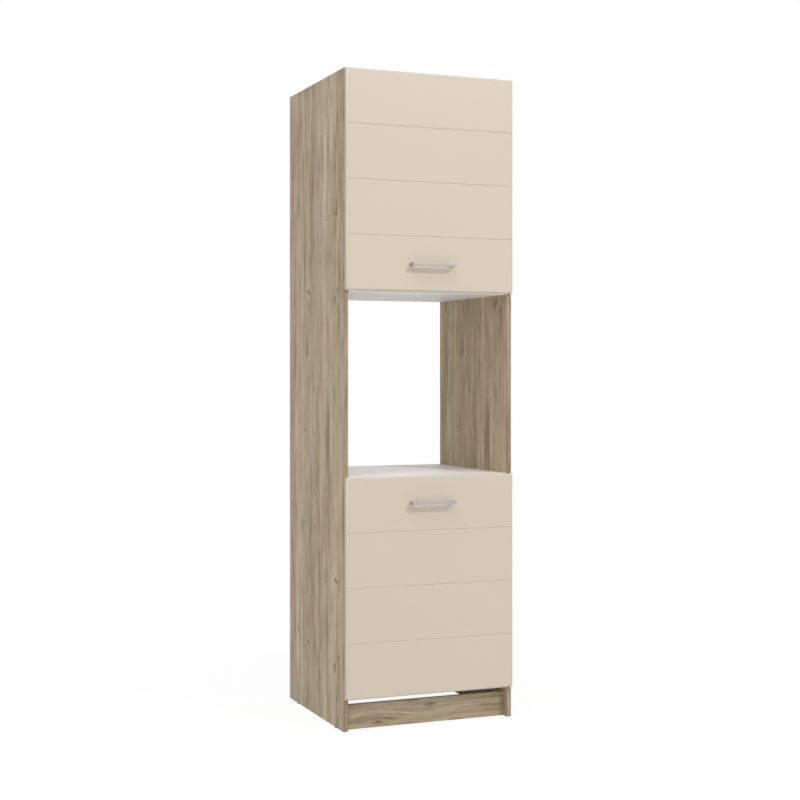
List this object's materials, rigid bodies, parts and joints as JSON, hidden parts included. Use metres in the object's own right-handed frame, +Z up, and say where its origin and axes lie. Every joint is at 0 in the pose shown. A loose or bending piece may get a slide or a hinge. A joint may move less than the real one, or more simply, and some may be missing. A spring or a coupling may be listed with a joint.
{
  "type": "tall oven housing unit",
  "caption": "Tall kitchen unit in oak decor with an open oven niche between a grooved cream lift-up flap and a tall pull-out front, each with a bow handle.",
  "frame": {"origin": "on the floor, under the middle of the whole unit's outer box, handles and back included", "axes": "+X to the right as seen from the front, -Y out of the front, +Z up"},
  "size_m": [0.601, 0.6118, 2.144],
  "materials": {
    "oak_board": "melamine with a grey-beige craft oak decor, grain along the board, satin",
    "oak_edge_band": "edge band in the same oak decor",
    "white_board": "white melamine on chipboard, slightly textured",
    "white_edge_band": "white edge band",
    "white_back": "thin fibreboard, white on the inside, brown on the wall side",
    "cream_front": "fibreboard front in a matt cream foil, V grooves",
    "satin_handle": "satin light metal",
    "nickel_hinge": "nickel plated",
    "zinc_steel": "zinc plated steel",
    "zinc_alloy": "cast zinc alloy",
    "strut_paint": "grey painted tube",
    "strut_chrome": "hard chrome rod",
    "cap_plastic": "grey-brown plastic",
    "glide_plastic": "dark brown plastic",
    "beech_dowel": "plain beech",
    "bumper_rubber": "clear soft bumper"
  },
  "bodies": {
    "carcass": {"back_nails": "zinc_steel", "board_edge_bands": "white_edge_band", "bottom_panel": "white_board", "cam_bolts": "zinc_steel", "cam_discs": "zinc_alloy", "carcass_fitting_screws": "zinc_steel", "confirmat_screws": "zinc_steel", "cover_caps": "cap_plastic", "dowels": "beech_dowel", "glide_nails": "zinc_steel", "glides": "glide_plastic", "hinge_arm_screws": "zinc_steel", "hinge_arms": "nickel_hinge", "hinge_plates": "nickel_hinge", "lower_back_panel": "white_back", "niche_ceiling": "white_board", "niche_floor": "white_board", "plinth_front": "oak_board", "plinth_rear": "oak_board", "rail_behind_drawer": "white_board", "rail_under_niche": "white_board", "runner_carcass_screws": "zinc_steel", "runner_outer_members": "zinc_steel", "shelf_edge_band": "white_edge_band", "side_edge_bands": "oak_edge_band", "side_panel_left": "oak_board", "side_panel_right": "oak_board", "strut_side_brackets": "zinc_steel", "top_panel": "white_board", "upper_back_panel": "white_back", "upper_shelf": "white_board", "wall_brackets": "zinc_steel"},
    "flap": {"upper_flap": "cream_front", "upper_handle": "satin_handle", "upper_handle_screws": "zinc_steel", "hinge_cups": "nickel_hinge", "hinge_pins": "zinc_steel", "flap_bumpers": "bumper_rubber", "flap_fitting_screws": "zinc_steel", "strut_flap_brackets": "zinc_steel"},
    "pull_out": {"lower_front": "cream_front", "lower_handle": "satin_handle", "lower_handle_screws": "zinc_steel", "drawer_side_left": "white_board", "drawer_side_right": "white_board", "drawer_front_board": "white_board", "drawer_back_board": "white_board", "drawer_bottom": "white_board", "drawer_corner_screws": "zinc_steel", "front_fixing_screws": "zinc_steel", "drawer_bumpers": "bumper_rubber", "runner_inner_members": "zinc_steel", "runner_drawer_screws": "zinc_steel"},
    "strut_tube_left": {"strut_tube_left": "strut_paint"},
    "strut_tube_right": {"strut_tube_right": "strut_paint"},
    "strut_rod_left": {"strut_rod_left": "strut_chrome"},
    "strut_rod_right": {"strut_rod_right": "strut_chrome"},
    "runner_middle_left": {"runner_middle_left": "zinc_steel"},
    "runner_middle_right": {"runner_middle_right": "zinc_steel"}
  },
  "joints": [
    {"name": "flap_hinge", "type": "hinge", "parent": "carcass", "child": "flap", "pos_m": [0, -0.27095, 2.1371], "axis": [-1, 0, 0], "range_deg": [0, 90]},
    {"name": "strut_tube_left_pivot", "type": "hinge", "parent": "carcass", "child": "strut_tube_left", "pos_m": [-0.27, -0.19895, 1.8271], "axis": [1, 0, 0], "range_deg": [0, 16.32]},
    {"name": "strut_tube_right_pivot", "type": "hinge", "parent": "carcass", "child": "strut_tube_right", "pos_m": [0.27, -0.19895, 1.8271], "axis": [1, 0, 0], "range_deg": [0, 16.32]},
    {"name": "strut_rod_left_slide", "type": "slide", "parent": "strut_tube_left", "child": "strut_rod_left", "axis": [0, -0.158, 0.9874], "range_m": [0, 0.05459]},
    {"name": "strut_rod_right_slide", "type": "slide", "parent": "strut_tube_right", "child": "strut_rod_right", "axis": [0, -0.158, 0.9874], "range_m": [0, 0.05459]},
    {"name": "pull_out_slide", "type": "slide", "parent": "carcass", "child": "pull_out", "axis": [0, -1, 0], "range_m": [0, 0.38]},
    {"name": "runner_middle_left_slide", "type": "slide", "parent": "carcass", "child": "runner_middle_left", "axis": [0, -1, 0], "range_m": [0, 0.19]},
    {"name": "runner_middle_right_slide", "type": "slide", "parent": "carcass", "child": "runner_middle_right", "axis": [0, -1, 0], "range_m": [0, 0.19]}
  ],
  "couplings": [
    {"joint": "strut_tube_left_pivot", "follows": "flap_hinge", "ratio": 0.18121},
    {"joint": "strut_tube_right_pivot", "follows": "flap_hinge", "ratio": 0.18121},
    {"joint": "strut_rod_left_slide", "follows": "flap_hinge", "m_per_rad": 0.034738},
    {"joint": "strut_rod_right_slide", "follows": "flap_hinge", "m_per_rad": 0.034738},
    {"joint": "runner_middle_left_slide", "follows": "pull_out_slide", "ratio": 0.5},
    {"joint": "runner_middle_right_slide", "follows": "pull_out_slide", "ratio": 0.5}
  ]
}
